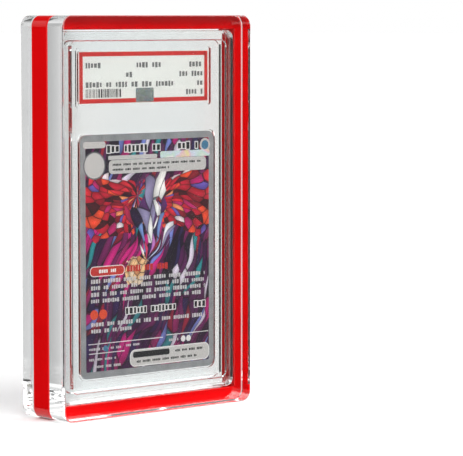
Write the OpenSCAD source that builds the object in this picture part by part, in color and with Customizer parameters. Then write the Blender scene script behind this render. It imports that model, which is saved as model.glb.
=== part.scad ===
// Graded card slab in a three-layer magnetic display case, in millimetres.
// A sealed two-shell slab holds a trading card and its grading label. Around it are a
// clear front plate, an opaque frame and a clear back plate. The front plate and the
// frame lift off forwards as one cover, which magnets hold against the back plate.
// +Z is up, the card faces -Y, and the origin is the bottom centre of the closed case.

/* [Card] */
// Width of the card
card_w = 63.5; // [50:0.5:80]
// Height of the card
card_h = 88.9; // [70:0.1:110]
// Thickness of the card
card_t = 0.35; // [0.25:0.05:0.8]
// Corner radius of the card
card_r = 3; // [1:0.5:5]
// Room around the card in its well, on each side
card_room = 0.6; // [0.2:0.1:1.5]

/* [Grading label] */
// Width of the label
label_w = 61.2; // [45:0.2:76]
// Height of the label
label_h = 19.2; // [14:0.2:26]
// Thickness of the label
label_t = 0.25; // [0.15:0.05:0.5]
// Room around the label in its pocket, on each side
label_room = 1.2; // [0.2:0.1:2]
// How far the label sits to the left of the card's centre line
label_shift = 1.5; // [0:0.1:3]
// Width of the security seal on the label
seal_w = 8.4; // [4:0.2:14]
// Height of the security seal on the label
seal_h = 5.2; // [3:0.2:8]
// Thickness of the security seal
seal_t = 0.08; // [0.05:0.01:0.15]
// Distance from the label's bottom edge up to the seal
seal_rise = 0.4; // [0:0.1:2]

/* [Slab] */
// Thickness of the closed slab
slab_t = 6.4; // [5.4:0.1:8.6]
// Plastic between the widest pocket and the slab's sides
slab_wall = 7.2; // [6:0.05:10]
// Plastic above the label
slab_head = 7.35; // [7.3:0.05:12]
// Plastic between the label and the card
slab_bridge = 11.05; // [3:0.05:16]
// Plastic below the card
slab_foot = 8.4; // [7.5:0.05:12]
// Corner radius of the slab
slab_r = 3.2; // [2.5:0.1:5]
// Thickness of the clear window in front of the card
window_t = 1.6; // [1:0.1:1.9]
// Width of the raised lip around both faces of the slab
lip_w = 3.4; // [2:0.1:4.4]
// Height of the raised lip
lip_h = 0.5; // [0.2:0.1:0.6]
// Corner radius inside the lip
lip_r = 3; // [1:0.5:5]
// Thickness of the slab's outer wall
rim_wall = 1.2; // [1.1:0.05:1.4]
// Width of the hollow channel that runs around the slab inside its outer wall
channel_w = 4; // [2:0.1:4.2]
// Width of the weld tongue that joins the two shells
tongue_w = 0.35; // [0.2:0.05:0.4]
// Height of the weld tongue
tongue_h = 0.8; // [0.4:0.1:1.1]
// Distance from the slab's edge to the weld tongue
tongue_inset = 0.4; // [0.3:0.05:0.45]

/* [Case] */
// Thickness of the clear front plate
front_t = 9.5; // [6:0.1:13]
// Thickness of the opaque frame
frame_t = 9.4; // [9:0.1:13]
// Thickness of the clear back plate
back_t = 6.4; // [5:0.1:10]
// Width of the frame's side rails
rail_side = 3.55; // [2.5:0.05:8]
// Height of the frame's top and bottom rails
rail_top = 5.15; // [4.2:0.05:10]
// Corner radius of the case
corner_r = 4; // [1:0.5:8]
// Polished chamfer on the outer edges of each layer
edge_chamfer = 0.35; // [0.1:0.05:0.8]
// Chamfer around the frame's opening
mouth_chamfer = 0.3; // [0.1:0.05:0.5]

/* [Magnets] */
// Diameter of each magnet
magnet_d = 3; // [2:0.1:3.6]
// Thickness of each magnet
magnet_h = 3; // [1.5:0.1:4.5]
// Distance from the side of the case to each magnet's centre
magnet_inset = 8; // [5:0.5:30]

/* [Fits] */
// Gap between the slab's sides and the frame
slab_side_gap = 0.4; // [0.2:0.05:1]
// Gap between the slab and the front plate
slab_face_gap = 0.1; // [0.05:0.05:0.3]
// Glue line between the front plate and the frame
glue_line = 0.05; // [0.02:0.01:0.1]
// Seam between the frame and the back plate when closed
seam_gap = 0.05; // [0.02:0.01:0.1]
// Glue gap around and behind each magnet
magnet_gap = 0.05; // [0.02:0.01:0.15]
// Play in front of and behind the card and the label
print_play = 0.04; // [0.02:0.01:0.1]
// Gap around the weld tongue in its groove
tongue_gap = 0.05; // [0.02:0.01:0.15]
// Air film that the weld leaves between the slab's two shells
shell_gap = 0.04; // [0.02:0.01:0.1]

/* [Hidden] */
$fn = 96;
// How far a cutting solid runs past the face that it cuts
over = 0.01;
chamfer_on_magnet = 0.2;

// Pockets inside the slab
well_w = card_w + 2 * card_room;
well_h = card_h + 2 * card_room;
pocket_w = label_w + 2 * label_room;
pocket_h = label_h + 2 * label_room;

// Outlines, each built outwards from what it holds
slab_w = max(well_w, pocket_w + 2 * label_shift) + 2 * slab_wall;
slab_h = slab_foot + card_h + slab_bridge + label_h + slab_head;
open_w = slab_w + 2 * slab_side_gap;
open_h = slab_h + 2 * slab_side_gap;
case_w = open_w + 2 * rail_side;
case_h = open_h + 2 * rail_top;
case_d = front_t + glue_line + frame_t + seam_gap + back_t;

// Stations along Y, from the front of the case to its back
y_front = -case_d / 2;
y_slab = y_front + front_t + slab_face_gap;
y_frame = y_front + front_t + glue_line;
y_back = y_frame + frame_t + seam_gap;

// Stations up Z
z_slab = rail_top + slab_side_gap;
z_card = z_slab + slab_foot;
z_label = z_card + card_h + slab_bridge;

// Stations through the slab: one shell, the back of the window, the wells behind it
shell_t = (slab_t - shell_gap) / 2;
window_back = lip_h + window_t;
well_depth = shell_t - window_back;
groove_depth = tongue_h - shell_gap + tongue_gap;
y_card = y_slab + window_back + print_play;
y_seal = y_card;
y_label = y_seal + seal_t;

// One side of a section: half-width a, thickness t, 45 degree chamfers c0 and c1.
// A negative chamfer flares outwards instead.
function edge(a, t, c0, c1) = concat(
    c0 == 0 ? [[a, 0]] : [[a - c0, 0], [a, abs(c0)]],
    c1 == 0 ? [[a, t]] : [[a, t - abs(c1)], [a - c1, t]]);

function section(a, t, c0, c1) =
    let (right = edge(a, t, c0, c1), last = len(right) - 1)
    concat(right, [for (i = [last:-1:0]) [-right[i][0], right[i][1]]]);

// Bar with that section across X, standing from z = z0 to z = z1
module upright_bar(w, t, z0, z1, c0, c1) {
    translate([0, 0, z0])
        linear_extrude(height = z1 - z0)
            polygon(section(w / 2, t, c0, c1));
}

// Bar with that section across Z, lying from x = -l / 2 to x = l / 2, base at z = 0
module lying_bar(h, t, l, c0, c1) {
    translate([-l / 2, 0, h / 2])
        rotate([0, 90, 0])
            linear_extrude(height = l)
                polygon(section(h / 2, t, c0, c1));
}

// Standing plate with round corners, from y = 0 to y = t, centred on X, base at z = 0
module plate(w, h, t, r, c0 = 0, c1 = 0) {
    upright_bar(w, t, r, h - r, c0, c1);
    lying_bar(h, t, w - 2 * r, c0, c1);
    for (x = [r - w / 2, w / 2 - r], z = [r, h - r])
        translate([x, 0, z])
            rotate([-90, 0, 0])
                rotate_extrude()
                    polygon(concat([[0, 0]], edge(r, t, c0, c1), [[0, t]]));
}

// The same with square corners, which may also flare
module square_plate(w, h, t, c0 = 0, c1 = 0) {
    room = 2 * max(abs(c0), abs(c1));
    intersection() {
        upright_bar(w, t, -room, h + room, c0, c1);
        lying_bar(h, t, w + 2 * room, c0, c1);
    }
}

// Ring that follows the slab's outline, between two distances in from its edge
module slab_ring(t, outer, inner) {
    difference() {
        translate([0, 0, outer])
            plate(slab_w - 2 * outer, slab_h - 2 * outer, t, slab_r - outer);
        translate([0, -over, inner])
            plate(slab_w - 2 * inner, slab_h - 2 * inner, t + 2 * over, max(slab_r - inner, 0.3));
    }
}

// The weld tongue, or its groove when it is grown by gap on both sides
module tongue_ring(t, gap) {
    slab_ring(t, tongue_inset - gap, tongue_inset + tongue_w + gap);
}

// Shallow recess that leaves the raised lip around a face of the slab. Its sloped
// wall runs in to the window, which lies at y = lip_h.
module lip_recess() {
    translate([0, -over, lip_w])
        plate(slab_w - 2 * lip_w, slab_h - 2 * lip_w, lip_h + over, lip_r, 0, lip_h * 0.8);
}

// Puts its children at the four magnet places, with the mouth of the hole at y = 0
module at_magnets() {
    for (side = [-1, 1], z = [rail_top / 2, case_h - rail_top / 2])
        translate([side * (case_w / 2 - magnet_inset), 0, z])
            children();
}

// Disc magnet whose face is at y = 0 and whose body runs towards +Y
module magnet() {
    rotate([-90, 0, 0])
        rotate_extrude()
            polygon(concat([[0, 0]],
                edge(magnet_d / 2, magnet_h, chamfer_on_magnet, chamfer_on_magnet),
                [[0, magnet_h]]));
}

// Blind hole for a magnet, running from y = 0 towards +Y
module magnet_hole() {
    translate([0, -over, 0])
        rotate([-90, 0, 0])
            cylinder(h = magnet_h + magnet_gap + over, d = magnet_d + 2 * magnet_gap);
}

// Clear back plate, with magnet holes in its front face
module back_plate() {
    color([0.86, 0.92, 0.93, 0.4])
        translate([0, y_back, 0])
            difference() {
                plate(case_w, case_h, back_t, corner_r, edge_chamfer, edge_chamfer);
                at_magnets() magnet_hole();
            }
}

module plate_magnets() {
    color("silver")
        translate([0, y_back, 0])
            at_magnets() magnet();
}

// Opaque frame around the slab, with magnet holes in its back face
module center_frame() {
    color([0.75, 0.01, 0.02])
        translate([0, y_frame, 0])
            difference() {
                plate(case_w, case_h, frame_t, corner_r, edge_chamfer, edge_chamfer);
                translate([0, -over, rail_top])
                    square_plate(open_w, open_h, frame_t + 2 * over,
                        -mouth_chamfer - over, -mouth_chamfer - over);
                translate([0, frame_t, 0])
                    mirror([0, 1, 0])
                        at_magnets() magnet_hole();
            }
}

module frame_magnets() {
    color("silver")
        translate([0, y_frame + frame_t, 0])
            mirror([0, 1, 0])
                at_magnets() magnet();
}

// Clear front plate
module front_plate() {
    color([0.86, 0.92, 0.93, 0.4])
        translate([0, y_front, 0])
            plate(case_w, case_h, front_t, corner_r, edge_chamfer, edge_chamfer);
}

// Front half of the slab, with the card's well, the label's pocket and the rim's channel
// in its back
module slab_front_shell() {
    color([0.9, 0.92, 0.92, 0.4])
        translate([0, y_slab, z_slab])
            difference() {
                plate(slab_w, slab_h, shell_t, slab_r, edge_chamfer, 0);
                lip_recess();
                translate([0, window_back, slab_foot - card_room])
                    plate(well_w, well_h, well_depth + over, card_r);
                translate([-label_shift, window_back, z_label - z_slab - label_room])
                    plate(pocket_w, pocket_h, well_depth + over, 1);
                translate([0, window_back, 0])
                    slab_ring(well_depth + over, rim_wall, rim_wall + channel_w);
                translate([0, shell_t - groove_depth, 0])
                    tongue_ring(groove_depth + over, tongue_gap);
            }
}

// Back half of the slab, with its weld tongue, its side of the channel, and the
// platforms that press the card and the label up to the window
module slab_back_shell() {
    card_stand = well_depth + shell_gap - card_t - 2 * print_play;
    label_stand = well_depth + shell_gap - seal_t - label_t - 2 * print_play;
    color([0.9, 0.92, 0.92, 0.4])
        translate([0, y_slab + shell_t + shell_gap, z_slab]) {
            difference() {
                plate(slab_w, slab_h, shell_t, slab_r, 0, edge_chamfer);
                translate([0, shell_t, 0])
                    mirror([0, 1, 0])
                        lip_recess();
                translate([0, -over, 0])
                    slab_ring(well_depth + over, rim_wall, rim_wall + channel_w);
            }
            translate([0, -card_stand, slab_foot])
                plate(card_w, card_h, card_stand + over, card_r);
            translate([-label_shift, -label_stand, z_label - z_slab])
                plate(label_w, label_h, label_stand + over, 1);
            translate([0, -tongue_h, 0])
                tongue_ring(tongue_h + over, 0);
        }
}

module card() {
    color([0.45, 0.2, 0.35])
        translate([0, y_card, z_card])
            plate(card_w, card_h, card_t, card_r);
}

module grading_label() {
    color([0.93, 0.93, 0.9])
        translate([-label_shift, y_label, z_label])
            plate(label_w, label_h, label_t, 0.5);
}

// Foil security seal on the front of the label
module seal_sticker() {
    color([0.55, 0.62, 0.6])
        translate([-label_shift, y_seal, z_label + seal_rise])
            plate(seal_w, seal_h, seal_t, 0.5);
}

back_plate();
plate_magnets();
center_frame();
frame_magnets();
front_plate();
slab_front_shell();
slab_back_shell();
card();
grading_label();
seal_sticker();
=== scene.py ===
# Graded card slab in its display case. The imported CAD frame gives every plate, shell,
# magnet and the card itself; this script gives them their finishes, and adds the print
# on the card and the label as thin inlays.
import math
import random

import bpy
from mathutils import Matrix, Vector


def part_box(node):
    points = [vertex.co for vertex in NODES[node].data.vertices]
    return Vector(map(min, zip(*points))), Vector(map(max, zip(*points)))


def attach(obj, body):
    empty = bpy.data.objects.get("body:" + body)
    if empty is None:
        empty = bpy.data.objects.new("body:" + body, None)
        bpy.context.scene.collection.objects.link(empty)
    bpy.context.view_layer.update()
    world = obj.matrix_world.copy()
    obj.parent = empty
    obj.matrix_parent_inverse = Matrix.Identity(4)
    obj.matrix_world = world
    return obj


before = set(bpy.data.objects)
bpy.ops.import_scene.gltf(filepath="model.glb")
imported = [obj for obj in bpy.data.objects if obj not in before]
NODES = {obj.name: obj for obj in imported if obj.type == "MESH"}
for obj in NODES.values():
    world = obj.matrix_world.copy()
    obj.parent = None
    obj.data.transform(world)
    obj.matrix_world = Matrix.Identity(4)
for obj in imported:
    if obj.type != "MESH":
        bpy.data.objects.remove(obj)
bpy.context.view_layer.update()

MM = 0.001
QUARTER = math.pi / 2

# ---------------------------------------------------------------- places in the frame
card_low, card_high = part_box("card")
label_low, label_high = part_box("grading_label")
slab_low, slab_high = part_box("slab_front_shell")
CARD_W = card_high.x - card_low.x
CARD_H = card_high.z - card_low.z
LABEL_W = label_high.x - label_low.x
LABEL_H = label_high.z - label_low.z

# Ink lies in thin layers in front of the paper, inside the play that the CAD leaves
INK_T = 0.004 * MM
INK_STEP = 0.008 * MM
INK_GAP = 0.002 * MM


# ---------------------------------------------------------------- materials, in general
def linear(code):
    """sRGB hex to the linear colour that shaders take."""
    parts = [int(code[i:i + 2], 16) / 255 for i in (1, 3, 5)]
    return tuple(p / 12.92 if p <= 0.04045 else ((p + 0.055) / 1.055) ** 2.4 for p in parts) + (1,)


def add(tree, kind, links=(), values=(), **settings):
    """One node with its settings; links and values are {input name or number: socket or value}."""
    node = tree.nodes.new(kind)
    for key, value in settings.items():
        setattr(node, key, value)
    for key, value in dict(values).items():
        node.inputs[key].default_value = value
    for key, socket in dict(links).items():
        tree.links.new(socket, node.inputs[key])
    return node


def blank(name):
    """A new material with an empty tree, and its output node."""
    material = bpy.data.materials.new(name)
    material.use_nodes = True
    material.node_tree.nodes.clear()
    return material, material.node_tree, material.node_tree.nodes.new("ShaderNodeOutputMaterial")


def finish(tree, output, shader):
    tree.links.new(shader.outputs[0], output.inputs["Surface"])


def ramp(tree, factor, stops, interpolation="LINEAR"):
    """A colour ramp over stops of (position, hex)."""
    node = add(tree, "ShaderNodeValToRGB", {0: factor})
    node.color_ramp.interpolation = interpolation
    points = node.color_ramp.elements
    while len(points) < len(stops):
        points.new(0.5)
    for point, (place, code) in zip(points, stops):
        point.position = place
        point.color = linear(code)
    return node.outputs["Color"]


def maths(tree, operation, a, b=None):
    """One Math node on sockets or numbers."""
    node = add(tree, "ShaderNodeMath", operation=operation)
    for i, part in enumerate((a, b)):
        if part is None:
            continue
        if isinstance(part, (int, float)):
            node.inputs[i].default_value = part
        else:
            tree.links.new(part, node.inputs[i])
    return node.outputs[0]


def mix(tree, factor, a, b, blend="MIX"):
    """Mixes two colours, each a socket or a hex code."""
    node = add(tree, "ShaderNodeMix", data_type="RGBA", blend_type=blend)
    for key, part in ((0, factor), (6, a), (7, b)):
        if isinstance(part, str):
            node.inputs[key].default_value = linear(part)
        elif isinstance(part, (int, float)):
            node.inputs[key].default_value = part
        else:
            tree.links.new(part, node.inputs[key])
    return node.outputs[2]


def millimetres(tree, centre):
    """Object coordinates in millimetres about a centre, and their X and Z."""
    place = add(tree, "ShaderNodeTexCoord").outputs["Object"]
    moved = add(tree, "ShaderNodeVectorMath", {0: place}, operation="SUBTRACT")
    moved.inputs[1].default_value = centre
    scaled = add(tree, "ShaderNodeVectorMath", {0: moved.outputs[0]}, operation="SCALE")
    scaled.inputs["Scale"].default_value = 1 / MM
    apart = add(tree, "ShaderNodeSeparateXYZ", {0: scaled.outputs[0]})
    return scaled.outputs[0], apart.outputs[0], apart.outputs[2]


# ---------------------------------------------------------------- the finishes
def cast_acrylic():
    """Polished clear cast acrylic: IOR 1.49, faint cool tint, wiping marks too fine to blur it."""
    material, tree, output = blank("cast_acrylic_clear")
    place, _, _ = millimetres(tree, (0, 0, 0))
    marks = add(tree, "ShaderNodeTexNoise", {"Vector": place}, {"Scale": 0.08, "Detail": 3})
    rough = add(tree, "ShaderNodeMapRange", {0: marks.outputs[0]},
                {1: 0.4, 2: 0.75, 3: 0.0, 4: 0.02})
    shader = add(tree, "ShaderNodeBsdfPrincipled", {"Roughness": rough.outputs[0]},
                 {"Base Color": linear("#FDFEFE"), "IOR": 1.49, "Transmission Weight": 1.0})
    finish(tree, output, shader)
    return material


def opaque_red_acrylic():
    """Opaque red cast acrylic, flame polished: deep red, mirror-like top, slight ripple."""
    material, tree, output = blank("cast_acrylic_red")
    place, _, _ = millimetres(tree, (0, 0, 0))
    cloud = add(tree, "ShaderNodeTexNoise", {"Vector": place}, {"Scale": 0.05, "Detail": 2})
    colour = ramp(tree, cloud.outputs[0], [(0.3, "#D80004"), (0.7, "#E00206")])
    ripple = add(tree, "ShaderNodeTexNoise", {"Vector": place}, {"Scale": 0.12, "Detail": 1})
    bump = add(tree, "ShaderNodeBump", {"Height": ripple.outputs[0]},
               {"Strength": 0.05, "Distance": 0.1 * MM})
    shader = add(tree, "ShaderNodeBsdfPrincipled",
                 {"Base Color": colour, "Normal": bump.outputs[0]},
                 {"Roughness": 0.06, "IOR": 1.49})
    finish(tree, output, shader)
    return material


def slab_polystyrene():
    """Clear moulded polystyrene, polished like its mould: IOR 1.59, so its rim and the gaps
    round the card turn light back as dark and bright lines."""
    material, tree, output = blank("polystyrene_clear")
    place, _, _ = millimetres(tree, (0, 0, 0))
    flow = add(tree, "ShaderNodeTexNoise", {"Vector": place}, {"Scale": 0.02, "Detail": 1})
    tint = ramp(tree, flow.outputs[0], [(0.3, "#FAFCFC"), (0.7, "#FDFDFC")])
    shader = add(tree, "ShaderNodeBsdfPrincipled", {"Base Color": tint},
                 {"Roughness": 0.0, "IOR": 1.59, "Transmission Weight": 1.0})
    finish(tree, output, shader)
    return material


def nickel():
    """Nickel plate on a pressed magnet: bright, slightly warm, fine grain."""
    material, tree, output = blank("nickel_plate")
    place, _, _ = millimetres(tree, (0, 0, 0))
    grain = add(tree, "ShaderNodeTexNoise", {"Vector": place}, {"Scale": 4.0, "Detail": 3})
    rough = add(tree, "ShaderNodeMapRange", {0: grain.outputs[0]}, {3: 0.15, 4: 0.35})
    shader = add(tree, "ShaderNodeBsdfPrincipled", {"Roughness": rough.outputs[0]},
                 {"Base Color": linear("#CFCBC4"), "Metallic": 1.0})
    finish(tree, output, shader)
    return material


def jagged(tree, along, across, length, width, edge=0.035):
    """Slanting shards of about length by width millimetres that follow two coordinates.
    Gives three random numbers for each shard, the shade across it, and its outline."""
    point = add(tree, "ShaderNodeCombineXYZ", {0: maths(tree, "DIVIDE", along, length),
                                               1: maths(tree, "DIVIDE", across, width)})
    cells = add(tree, "ShaderNodeTexVoronoi", {"Vector": point.outputs[0]}, {"Scale": 1.0},
                voronoi_dimensions="2D")
    edges = add(tree, "ShaderNodeTexVoronoi", {"Vector": point.outputs[0]}, {"Scale": 1.0},
                voronoi_dimensions="2D", feature="DISTANCE_TO_EDGE")
    dice = add(tree, "ShaderNodeSeparateColor", {0: cells.outputs["Color"]})
    shade = add(tree, "ShaderNodeMapRange", {0: cells.outputs["Distance"]},
                {1: 0.1, 2: 0.9, 3: 1.2, 4: 0.45})
    outline = maths(tree, "LESS_THAN", edges.outputs["Distance"], edge)
    return dice.outputs, shade.outputs[0], outline


def shard_colours(tree, shards, stops, outline):
    """Paints shards from a list of flat colours, shades them, and draws their outlines."""
    dice, shade, line = shards
    flat = ramp(tree, dice[0], stops, "CONSTANT")
    shaded = mix(tree, 1.0, flat, shade, "MULTIPLY")
    return mix(tree, maths(tree, "MULTIPLY", line, 0.8), shaded, outline)


def oval(tree, x, z, middle, size):
    """Falls from 1 in the middle of an oval to 0 on it, and below 0 outside."""
    squares = []
    for value, centre, radius in zip((x, z), middle, size):
        part = maths(tree, "DIVIDE", maths(tree, "SUBTRACT", value, centre), radius)
        squares.append(maths(tree, "MULTIPLY", part, part))
    return maths(tree, "SUBTRACT", 1.0, maths(tree, "ADD", *squares))


def crystal_print():
    """Gloss-coated card stock. The front is printed with an abstract drift of crystal shards:
    crimson fans on both sides, a pale burst between them, long plum and magenta splinters
    below. The back has a plain lozenge pattern, and the cut edges are left as paper."""
    material, tree, output = blank("printed_card_stock")
    centre = ((card_low.x + card_high.x) / 2, 0, (card_low.z + card_high.z) / 2)
    place, x, z = millimetres(tree, centre)
    # Slow waver, about 20 mm from wave to wave
    waver = add(tree, "ShaderNodeTexNoise", {"Vector": place}, {"Scale": 0.05, "Detail": 1})
    sway = add(tree, "ShaderNodeSeparateColor", {0: waver.outputs["Color"]})
    reach = 16.0
    bend_x = maths(tree, "MULTIPLY", maths(tree, "SUBTRACT", sway.outputs[0], 0.5), reach)
    bend_z = maths(tree, "MULTIPLY", maths(tree, "SUBTRACT", sway.outputs[1], 0.5), reach)
    u = maths(tree, "ADD", x, bend_x)
    v = maths(tree, "ADD", z, bend_z)
    folded = maths(tree, "ABSOLUTE", u)

    def fan(across, up, middle, spread, length, width, edge):
        """Shards that spread out from a middle point."""
        dx = maths(tree, "SUBTRACT", across, middle[0])
        dz = maths(tree, "SUBTRACT", up, middle[1])
        squares = maths(tree, "ADD", maths(tree, "MULTIPLY", dx, dx),
                        maths(tree, "MULTIPLY", dz, dz))
        angle = maths(tree, "MULTIPLY", maths(tree, "ARCTAN2", dx, dz), spread)
        return jagged(tree, maths(tree, "SQRT", squares), angle, length, width, edge)

    # Splinters run down and inwards on both halves, as a shallow V
    along = maths(tree, "ADD", maths(tree, "MULTIPLY", folded, 0.42),
                  maths(tree, "MULTIPLY", v, 0.91))
    aside = maths(tree, "SUBTRACT", maths(tree, "MULTIPLY", u, 0.91),
                  maths(tree, "MULTIPLY", v, 0.42))
    ground = shard_colours(tree, jagged(tree, along, aside, 8.0, 1.9, 0.05), [
        (0.0, "#1D0C26"), (0.14, "#3C1442"), (0.30, "#571A50"), (0.46, "#7A1E5E"),
        (0.56, "#2C2054"), (0.62, "#D01C80"), (0.72, "#9A2060"), (0.79, "#2A8C92"),
        (0.83, "#A01E34"), (0.90, "#7A86D0"), (0.95, "#E2D6E6")], "#10060E")
    fans = fan(folded, v, (5.0, 22.0), 12.0, 4.2, 1.7, 0.05)
    crimson = shard_colours(tree, fans, [
        (0.0, "#420A18"), (0.12, "#8E1226"), (0.26, "#C41C34"), (0.46, "#E02C3A"),
        (0.62, "#F0502E"), (0.71, "#C0206C"), (0.79, "#F49A62"), (0.85, "#6C58B4"),
        (0.90, "#F4E4E6"), (0.95, "#241030")], "#1A0610")
    rays = fan(u, v, (1.0, -2.0), 7.0, 8.0, 1.15, 0.05)
    pale = shard_colours(tree, rays, [
        (0.0, "#2E1A3A"), (0.10, "#9A90B4"), (0.20, "#F4F2F4"), (0.38, "#C8D6EE"),
        (0.48, "#7C9CD6"), (0.56, "#F8F4F0"), (0.66, "#E23E66"), (0.76, "#B4204C"),
        (0.84, "#C67ECA"), (0.90, "#5A2A68")], "#180E1E")
    ember = shard_colours(tree, jagged(tree, v, u, 3.2, 2.4, 0.05), [
        (0.0, "#C98A5A"), (0.3, "#F0C692"), (0.6, "#E8D2B4"), (0.85, "#8E4A3C")], "#3A1620")
    wing = oval(tree, folded, v, (18.0, 18.0), (15.0, 13.0))
    wing_edge = maths(tree, "GREATER_THAN", maths(
        tree, "ADD", wing, maths(tree, "MULTIPLY", fans[0][1], 0.7)), 0.35)
    burst = oval(tree, u, v, (1.0, 16.0), (13.0, 17.0))
    burst_edge = maths(tree, "GREATER_THAN", maths(
        tree, "ADD", burst, maths(tree, "MULTIPLY", rays[0][1], 1.4)), 1.0)
    glow = oval(tree, u, v, (-4.0, -5.5), (6.0, 7.5))
    glow_edge = maths(tree, "GREATER_THAN", maths(
        tree, "ADD", glow, maths(tree, "MULTIPLY", rays[0][2], 0.6)), 0.45)
    picture = mix(tree, wing_edge, ground, crimson)
    picture = mix(tree, burst_edge, picture, pale)
    picture = mix(tree, glow_edge, picture, ember)
    # Dusky ground behind the printed lines
    dusk = add(tree, "ShaderNodeMapRange", {0: z}, {1: -6.0, 2: -20.0, 3: 0.0, 4: 0.3})
    picture = mix(tree, dusk.outputs[0], picture, "#40183A")
    # Lozenges of 4 mm on the back
    across = maths(tree, "PINGPONG", maths(tree, "ADD", x, z), 4.0)
    diagonal = maths(tree, "PINGPONG", maths(tree, "SUBTRACT", x, z), 4.0)
    lozenge = maths(tree, "LESS_THAN", maths(tree, "MINIMUM", across, diagonal), 0.5)
    half_w = CARD_W / MM / 2 - 3.0
    half_h = CARD_H / MM / 2 - 3.0
    in_field = maths(tree, "MULTIPLY",
                     maths(tree, "LESS_THAN", maths(tree, "ABSOLUTE", x), half_w),
                     maths(tree, "LESS_THAN", maths(tree, "ABSOLUTE", z), half_h))
    back = mix(tree, in_field, "#8C97C0", mix(tree, lozenge, "#22305E", "#6F7FB4"))
    facing = add(tree, "ShaderNodeSeparateXYZ",
                 {0: add(tree, "ShaderNodeTexCoord").outputs["Normal"]})
    is_back = maths(tree, "GREATER_THAN", facing.outputs[1], 0.5)
    is_front = maths(tree, "LESS_THAN", facing.outputs[1], -0.5)
    colour = mix(tree, is_front, mix(tree, is_back, "#D9D4CC", back), picture)
    bump = add(tree, "ShaderNodeBump", {"Height": rays[1]},
               {"Strength": 0.15, "Distance": 0.03 * MM})
    shader = add(tree, "ShaderNodeBsdfPrincipled",
                 {"Base Color": colour, "Normal": bump.outputs[0]},
                 {"Roughness": 0.3, "Coat Weight": 0.2, "Coat Roughness": 0.08})
    finish(tree, output, shader)
    return material


def paper(name, light, dark):
    """Printed label paper: flat ink with the paper's own faint mottle."""
    material, tree, output = blank(name)
    place, _, _ = millimetres(tree, (0, 0, 0))
    mottle = add(tree, "ShaderNodeTexNoise", {"Vector": place}, {"Scale": 1.5, "Detail": 4})
    colour = ramp(tree, mottle.outputs[0], [(0.3, dark), (0.7, light)])
    shader = add(tree, "ShaderNodeBsdfPrincipled", {"Base Color": colour}, {"Roughness": 0.55})
    finish(tree, output, shader)
    return material


def foil(name, light, dark, metallic=0.75, rough=0.35, grain=3.0):
    """Metallic ink or foil, brushed by the fine grain that it is printed on."""
    material, tree, output = blank(name)
    place, _, _ = millimetres(tree, (0, 0, 0))
    noise = add(tree, "ShaderNodeTexNoise", {"Vector": place}, {"Scale": grain, "Detail": 3})
    colour = ramp(tree, noise.outputs[0], [(0.35, dark), (0.65, light)])
    shader = add(tree, "ShaderNodeBsdfPrincipled", {"Base Color": colour},
                 {"Roughness": rough, "Metallic": metallic})
    finish(tree, output, shader)
    return material


def rainbow_foil(name, cell):
    """Diffractive foil: small cells, each a pale colour of its own."""
    material, tree, output = blank(name)
    place, _, _ = millimetres(tree, (0, 0, 0))
    cells = add(tree, "ShaderNodeTexVoronoi", {"Vector": place}, {"Scale": 1 / cell})
    share = add(tree, "ShaderNodeSeparateColor", {0: cells.outputs["Color"]})
    colour = ramp(tree, share.outputs[0], [
        (0.0, "#8F9C98"), (0.25, "#A9B4A6"), (0.5, "#93A7B0"), (0.75, "#B3A9AF"), (1.0, "#9FB0A0")])
    shader = add(tree, "ShaderNodeBsdfPrincipled", {"Base Color": colour},
                 {"Roughness": 0.25, "Metallic": 0.8})
    finish(tree, output, shader)
    return material


def pearl_foil(name):
    """Holographic ink: soft bands of cream, pink and pale blue, each about 5 mm wide."""
    material, tree, output = blank(name)
    place, _, _ = millimetres(tree, (0, 0, 0))
    drift = add(tree, "ShaderNodeTexNoise", {"Vector": place}, {"Scale": 0.2, "Detail": 1})
    colour = ramp(tree, drift.outputs[0], [
        (0.30, "#E6E2DE"), (0.40, "#F2E3A8"), (0.47, "#F0C4D2"), (0.54, "#D8E2F0"),
        (0.62, "#CFE6D8"), (0.70, "#F2EEEA")])
    shader = add(tree, "ShaderNodeBsdfPrincipled", {"Base Color": colour},
                 {"Roughness": 0.3, "Metallic": 0.1})
    finish(tree, output, shader)
    return material


# ---------------------------------------------------------------- modelling
def only(obj=None):
    """Deselects everything, then selects and activates obj."""
    bpy.ops.object.select_all(action="DESELECT")
    if obj:
        obj.select_set(True)
        bpy.context.view_layer.objects.active = obj


def thicken(obj, thickness):
    """Gives a flat piece its thickness, towards +Y, and puts its place into its mesh."""
    bpy.ops.object.transform_apply(location=True, rotation=True, scale=True)
    solid = obj.modifiers.new("thickness", "SOLIDIFY")
    solid.thickness = thickness
    solid.offset = -1
    bpy.ops.object.modifier_apply(modifier=solid.name)
    return obj


def slip(name, x, z, w, h, y, r=0.3, rim=None, thickness=INK_T):
    """A rounded slip of ink in the XZ plane, its front face at y, sizes in millimetres.
    With rim it is only a border of that width."""
    only()
    bpy.ops.mesh.primitive_plane_add(size=1, location=(x, y, z), rotation=(QUARTER, 0, 0))
    obj = bpy.context.object
    obj.name = name
    obj.scale = (w * MM, h * MM, 1)
    bpy.ops.object.transform_apply(location=False, rotation=False, scale=True)
    bpy.ops.object.mode_set(mode="EDIT")
    bpy.ops.mesh.select_all(action="SELECT")
    if r:
        bpy.ops.mesh.bevel(offset=r * MM, segments=6, affect="VERTICES")
    if rim:
        bpy.ops.mesh.select_all(action="SELECT")
        bpy.ops.mesh.inset(thickness=rim * MM)
        bpy.ops.mesh.delete(type="FACE")
    bpy.ops.object.mode_set(mode="OBJECT")
    return thicken(obj, thickness)


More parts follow.
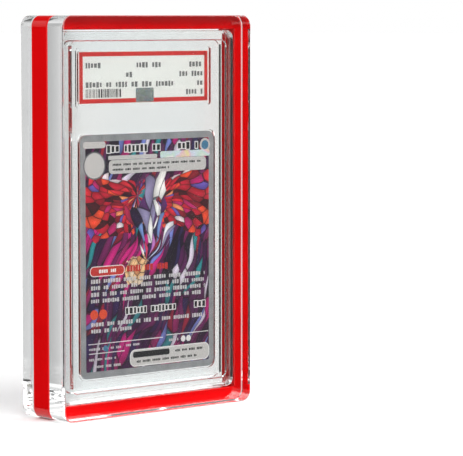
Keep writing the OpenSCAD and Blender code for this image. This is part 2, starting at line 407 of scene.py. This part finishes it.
def disc(name, x, z, radius, y, hole=0.0, thickness=INK_T):
    """A round slip of ink, or a ring when it has a hole."""
    only()
    bpy.ops.mesh.primitive_circle_add(vertices=48, radius=radius * MM, fill_type="NGON",
                                      location=(x, y, z), rotation=(QUARTER, 0, 0))
    obj = bpy.context.object
    obj.name = name
    if hole:
        bpy.ops.object.mode_set(mode="EDIT")
        bpy.ops.mesh.select_all(action="SELECT")
        bpy.ops.mesh.inset(thickness=(radius - hole) * MM)
        bpy.ops.mesh.delete(type="FACE")
        bpy.ops.object.mode_set(mode="OBJECT")
    return thicken(obj, thickness)


def joined(name, parts):
    """Joins parts into one piece."""
    only(parts[0])
    for part in parts[1:]:
        part.select_set(True)
    if len(parts) > 1:
        bpy.ops.object.join()
    parts[0].name = name
    parts[0].data.name = name
    return parts[0]


def give(obj, material):
    """Finishes a new piece: its material and the body it rides on."""
    obj.data.materials.clear()
    obj.data.materials.append(material)
    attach(obj, "slab")
    return obj


def greeked(name, rows, y, height, seed, block=0.95, gap=0.3, grow=0.0):
    """Rows of small blocks that stand for lines of print, with word spaces and no letters.
    Each row is (left, right, middle) in metres. The same rows, seed and sizes with grow give
    the same blocks, that much larger on every side."""
    dice = random.Random(seed)
    master = slip(name, 0, 0, 1, 1, y, r=0)
    parts = []
    for left, right, middle in rows:
        at = left
        word = dice.randint(2, 7)
        while at < right - 0.3 * MM:
            width = min(block * dice.uniform(0.6, 1.1) * MM, right - at)
            tall = height * dice.choice((0.78, 1.0, 1.0, 0.86)) + 2 * grow
            copy = master.copy()
            copy.data = master.data.copy()
            bpy.context.scene.collection.objects.link(copy)
            size = Matrix.Diagonal((width / MM + 2 * grow, 1, tall, 1))
            copy.data.transform(Matrix.Translation((at + width / 2, 0, middle)) @ size)
            parts.append(copy)
            at += width + gap * MM
            word -= 1
            if word == 0:
                at += 1.4 * block * MM
                word = dice.randint(2, 7)
    bpy.data.objects.remove(master)
    return joined(name, parts)


# ---------------------------------------------------------------- finishes on the CAD nodes
acrylic = cast_acrylic()
red = opaque_red_acrylic()
slab_plastic = slab_polystyrene()
plating = nickel()
art = crystal_print()
label_paper = paper("label_paper", "#F2F2EE", "#ECECE8")
seal_foil = rainbow_foil("seal_foil", 0.6)
CAD_FINISH = {
    "front_plate": acrylic, "back_plate": acrylic, "center_frame": red,
    "plate_magnets": plating, "frame_magnets": plating,
    "slab_front_shell": slab_plastic, "slab_back_shell": slab_plastic,
    "card": art, "grading_label": label_paper, "seal_sticker": seal_foil,
}
for name, material in CAD_FINISH.items():
    obj = NODES[name]
    obj.data.materials.clear()
    obj.data.materials.append(material)

# ---------------------------------------------------------------- print on the card
grey_ink = foil("silver_border_ink", "#A4A5A7", "#929395", 0.2, 0.35, grain=0.2)
rim_ink = foil("dark_silver_ink", "#77787B", "#68696C", 0.2, 0.35, grain=0.2)
pale_silver = foil("pale_silver_ink", "#DEDAD8", "#C2BDBA", 0.15, 0.35)
dark_ink = paper("black_ink", "#1B1A1E", "#121115")
white_ink = paper("white_ink", "#F4F2F0", "#E6E3E0")
soft_grey_ink = paper("light_grey_ink", "#DAD6D6", "#BDB8BA")
red_ink = paper("red_ink", "#D0362E", "#C22A26")
orange_ink = paper("orange_ink", "#E8562C", "#D84424")
blue_ink = paper("blue_ink", "#4E86A8", "#3D7496")
holo_ink = pearl_foil("holographic_ink")


def on_card(u, v):
    """X and Z of a place u mm right of the card's left edge and v mm below its top."""
    return card_low.x + u * MM, card_high.z - v * MM


def card_ink(layer):
    """Y of the front face of a layer of ink on the card."""
    return card_low.y - INK_T - layer * INK_STEP - INK_GAP


def rows(place, *spans):
    """Rows of print as greeked takes them, from (left, right, down) in mm on the card or label."""
    return [(place(left, 0)[0], place(right, 0)[0], place(0, down)[1])
            for left, right, down in spans]


BORDER = 2.4
border = slip("card_border", *on_card(CARD_W / MM / 2, CARD_H / MM / 2), CARD_W / MM - 0.1,
              CARD_H / MM - 0.1, card_ink(0), r=2.95, rim=BORDER)
give(border, grey_ink)

badge = disc("badge_disc", *on_card(6.6, 11.2), 4.6, card_ink(1))
give(badge, pale_silver)
ring = disc("badge_ring", *on_card(6.6, 11.2), 5.1, card_ink(1), hole=4.6)
give(ring, rim_ink)
tag = slip("corner_tag", *on_card(6.6, 3.7), 10.4, 2.4, card_ink(1), r=1.1)
give(tag, pale_silver)

banner = slip("text_banner", *on_card(36.5, 12.0), 46.5, 5.0, card_ink(1), r=1.6)
give(banner, pale_silver)
strip = slip("silver_strip", *on_card(24.5, 8.6), 23.0, 1.5, card_ink(1), r=0.4)
give(strip, pale_silver)
holo = slip("holographic_strip", *on_card(49.5, 8.2), 24.0, 2.4, card_ink(1), r=0.6)
give(holo, holo_ink)

title = rows(on_card, (12.5, 38.0, 5.4), (46.0, 55.5, 5.2))
give(greeked("title_outline", title, card_ink(1), 2.6, 3, block=1.5, gap=0.75, grow=0.35),
     white_ink)
give(greeked("title_print", title, card_ink(2), 2.6, 3, block=1.5, gap=0.75),
     dark_ink)

orb_ring = disc("corner_orb_ring", *on_card(59.2, 5.2), 2.5, card_ink(1), hole=1.7)
give(orb_ring, pale_silver)
orb = disc("corner_orb", *on_card(59.2, 5.2), 1.7, card_ink(1))
give(orb, blue_ink)

banner_rows = rows(on_card, (15, 57.0, 11.2), (15, 42.0, 13.0))
give(greeked("banner_print", banner_rows, card_ink(2), 0.8, 5, block=0.6, gap=0.16),
     dark_ink)

pill = slip("red_pill", *on_card(12.4, 49.8), 15.6, 3.2, card_ink(2), r=1.5)
give(pill, red_ink)
pill_line = slip("red_pill_outline", *on_card(12.4, 49.8), 16.2, 3.8, card_ink(1), r=1.8)
give(pill_line, white_ink)
give(greeked("red_pill_print", rows(on_card, (8.5, 16.5, 49.8)), card_ink(3), 1.5, 7,
             block=0.9, gap=0.2), white_ink)
give(greeked("ability_title_print", rows(on_card, (21.5, 41.0, 49.6)), card_ink(2), 2.4, 11,
             block=1.3, gap=0.25), red_ink)

LEFT, RIGHT = 4.8, 59.0
body_rows = rows(on_card, (LEFT, RIGHT, 53.4), (LEFT, RIGHT, 55.8), (LEFT, RIGHT, 58.2),
                 (LEFT, 57.0, 60.6), (LEFT, RIGHT, 69.2), (LEFT, 24.0, 71.6))
give(greeked("body_print", body_rows, card_ink(1), 1.5, 13, block=1.0, gap=0.28),
     soft_grey_ink)

for i, u in enumerate((6.2, 10.4)):
    give(disc(f"cost_orb_{i + 1}", *on_card(u, 65.6), 1.8, card_ink(1)), orange_ink)
attack_rows = rows(on_card, (21.0, 45.0, 65.2), (54.0, 60.0, 65.0))
give(greeked("attack_outline", attack_rows, card_ink(1), 2.2, 17, block=1.3, gap=0.7, grow=0.32),
     white_ink)
give(greeked("attack_print", attack_rows, card_ink(2), 2.2, 17, block=1.3, gap=0.7),
     dark_ink)

rules = [slip("rule", *on_card(21.0, 76.3), 35.0, 0.3, card_ink(1), r=0),
         slip("rule", *on_card(50.5, 75.6), 20.5, 0.3, card_ink(1), r=0),
         slip("rule", *on_card(12.0, 79.8), 16.5, 0.3, card_ink(1), r=0)]
give(joined("rules", rules), white_ink)
small_rows = rows(on_card, (3.8, 19.0, 78.2), (21.0, 27.5, 77.9), (41.5, 46.0, 77.6),
                  (3.8, 16.5, 82.0), (6.5, 18.5, 84.7))
give(greeked("small_print", small_rows, card_ink(1), 0.9, 19, block=0.7, gap=0.18),
     soft_grey_ink)
give(disc("blue_orb", *on_card(11.4, 78.2), 1.1, card_ink(2)), blue_ink)
for i, u in enumerate((48.4, 51.0)):
    give(disc(f"white_orb_{i + 1}", *on_card(u, 77.6), 1.15, card_ink(1)), white_ink)

box_line = slip("rule_box_outline", *on_card(42.0, 83.0), 38.4, 6.4, card_ink(1), r=2.4)
give(box_line, white_ink)
box = slip("rule_box", *on_card(42.0, 83.0), 37.6, 5.6, card_ink(2), r=2.0)
give(box, pale_silver)
black_pill = slip("rule_box_pill", *on_card(33.0, 81.8), 17.5, 2.2, card_ink(3), r=0.8)
give(black_pill, dark_ink)
box_rows = rows(on_card, (44.5, 58.0, 81.8), (26.0, 55.0, 84.4))
give(greeked("rule_box_print", box_rows, card_ink(3), 0.9, 23, block=0.6, gap=0.15),
     dark_ink)

# ---------------------------------------------------------------- print on the label
def on_label(u, v):
    """X and Z of a place u mm right of the label's left edge and v mm below its top."""
    return label_low.x + u * MM, label_high.z - v * MM


label_y = label_low.y - INK_T - INK_GAP
label_red = paper("label_red_ink", "#D8322E", "#CC2824")
label_grey = paper("label_grey_ink", "#7A7A7A", "#6A6A6A")
frame_print = slip("label_border", *on_label(LABEL_W / MM / 2, LABEL_H / MM / 2),
                   LABEL_W / MM - 0.6, LABEL_H / MM - 0.6, label_y, r=0.2, rim=1.6)
give(frame_print, label_red)
label_rows = rows(on_label, (3.2, 10.4, 5.2), (26.8, 38.8, 5.2), (52.0, 58.6, 5.2),
                  (21.8, 25.0, 8.7), (47.2, 58.4, 8.7),
                  (3.2, 45.6, 12.2), (55.8, 58.6, 12.2), (50.4, 58.4, 15.4))
give(greeked("label_text_print", label_rows, label_y, 2.0, 29, block=1.2, gap=0.45),
     label_grey)


def bar_pattern(start, end, down, tall, seed):
    """Upright bars of random widths and gaps, which stand for no number."""
    dice = random.Random(seed)
    bars = []
    at = start
    while at < end:
        width = dice.choice((0.22, 0.22, 0.44, 0.66))
        bars.append(slip("bar", *on_label(at + width / 2, down), width, tall, label_y, r=0))
        at += width + dice.choice((0.24, 0.24, 0.48))
    return joined("label_barcode", bars)


give(bar_pattern(3.2, 19.2, 15.3, 3.1, 31), dark_ink)

# ---------------------------------------------------------------- studio
# The lamp and the plain cards round the room: heading, half width, lowest, highest and soft
# edge in degrees, then brightness. They give the clear plates something to turn back.
KEY_LIGHT = (178.0, 46.0, 8.0, 48.0, 6.0, 3.6)
ROOM_CARDS = (
    (5.0, 22.0, 12.0, 46.0, 6.0, 0.06),
    (-90.0, 50.0, 8.0, 60.0, 8.0, 0.3),
    (180.0, 30.0, -40.0, 4.0, 6.0, 0.12),
    (41.0, 14.0, -12.0, 8.0, 3.0, 1.18),
    (29.0, 8.0, -12.0, 8.0, 1.0, 0.5),
    (-41.0, 10.0, -11.0, -0.2, 2.0, 0.03),
    (139.0, 3.8, -11.0, -0.15, 0.5, 0.04),
    (-139.0, 6.0, -12.0, -0.2, 2.0, 0.02),
)


def studio_floor():
    """Pale matt floor, 60 m across. It shows in no mirror or glass, so the plates show the
    room in its place."""
    only()
    bpy.ops.mesh.primitive_plane_add(size=60, location=(0, 0, 0))
    floor = bpy.context.object
    floor.name = "studio_floor"
    material, tree, output = blank("studio_floor_paint")
    shader = add(tree, "ShaderNodeBsdfPrincipled", (),
                 {"Base Color": (0.93, 0.93, 0.93, 1), "Roughness": 0.9})
    finish(tree, output, shader)
    floor.data.materials.append(material)
    floor.visible_glossy = False
    floor.visible_transmission = False


def studio_world():
    """A room with a soft key light and plain cards, and a plain white backdrop for the eye.
    Headings are degrees clockwise from +Y, heights are degrees above the horizon."""
    world = bpy.data.worlds.new("studio_room")
    bpy.context.scene.world = world
    world.use_nodes = True
    tree = world.node_tree
    tree.nodes.clear()
    way = add(tree, "ShaderNodeSeparateXYZ", {0: add(tree, "ShaderNodeTexCoord").outputs[0]})
    heading = maths(tree, "DEGREES", maths(tree, "ARCTAN2", way.outputs[0], way.outputs[1]))
    height = maths(tree, "DEGREES", maths(tree, "ARCSINE", way.outputs[2]))

    def inside(value, low, high, soft):
        """1 between low and high, falling to 0 over soft degrees on both sides."""
        up = add(tree, "ShaderNodeMapRange", {0: value}, {1: low - soft, 2: low},
                 interpolation_type="SMOOTHSTEP")
        down = add(tree, "ShaderNodeMapRange", {0: value},
                   {1: high, 2: high + soft, 3: 1.0, 4: 0.0}, interpolation_type="SMOOTHSTEP")
        return maths(tree, "MULTIPLY", up.outputs[0], down.outputs[0])

    def card(light, centre, half, low, high, soft, shade):
        """The room's light with a card or lamp of one shade set up in it."""
        aside = add(tree, "ShaderNodeMath", {0: maths(tree, "SUBTRACT", heading, centre)},
                    {1: 180.0, 2: -180.0}, operation="WRAP")
        across = inside(maths(tree, "ABSOLUTE", aside.outputs[0]), -1.0, half, soft)
        share = maths(tree, "MULTIPLY", across, inside(height, low, high, max(soft, 0.03)))
        keep = maths(tree, "MULTIPLY", light, maths(tree, "SUBTRACT", 1.0, share))
        return maths(tree, "ADD", keep, maths(tree, "MULTIPLY", share, shade))

    ceiling = add(tree, "ShaderNodeMapRange", {0: height}, {1: 30.0, 2: 60.0, 3: 0.75, 4: 1.7})
    light = card(ceiling.outputs[0], *KEY_LIGHT)
    for one in ROOM_CARDS:
        light = card(light, *one)
    eye = add(tree, "ShaderNodeLightPath").outputs["Is Camera Ray"]
    seen = maths(tree, "ADD", maths(tree, "MULTIPLY", light, maths(tree, "SUBTRACT", 1.0, eye)), eye)
    background = add(tree, "ShaderNodeBackground", {"Strength": seen}, {"Color": (1, 1, 1, 1)})
    output = add(tree, "ShaderNodeOutputWorld")
    tree.links.new(background.outputs[0], output.inputs[0])



def camera():
    """Long lens, from the left and level with the top of the case."""
    lens, heading, tilt = 202.3, 41.16, 4.685
    data = bpy.data.cameras.new("studio_camera")
    data.lens = lens
    data.clip_end = 20
    obj = bpy.data.objects.new("studio_camera", data)
    bpy.context.scene.collection.objects.link(obj)
    obj.location = (-607.3 * MM, -747.1 * MM, 146.2 * MM)
    obj.rotation_euler = (QUARTER - math.radians(tilt), 0, -math.radians(heading))
    bpy.context.scene.camera = obj


studio_floor()
studio_world()
camera()
scene = bpy.context.scene
scene.view_settings.view_transform = "Standard"
# Light turns back many times inside a polished plate; with few bounces its corners go black
BOUNCES = 96
scene.cycles.max_bounces = BOUNCES
scene.cycles.transmission_bounces = BOUNCES
scene.cycles.glossy_bounces = BOUNCES
# Blurred bounces would darken the print behind the plates
scene.cycles.blur_glossy = 0.0
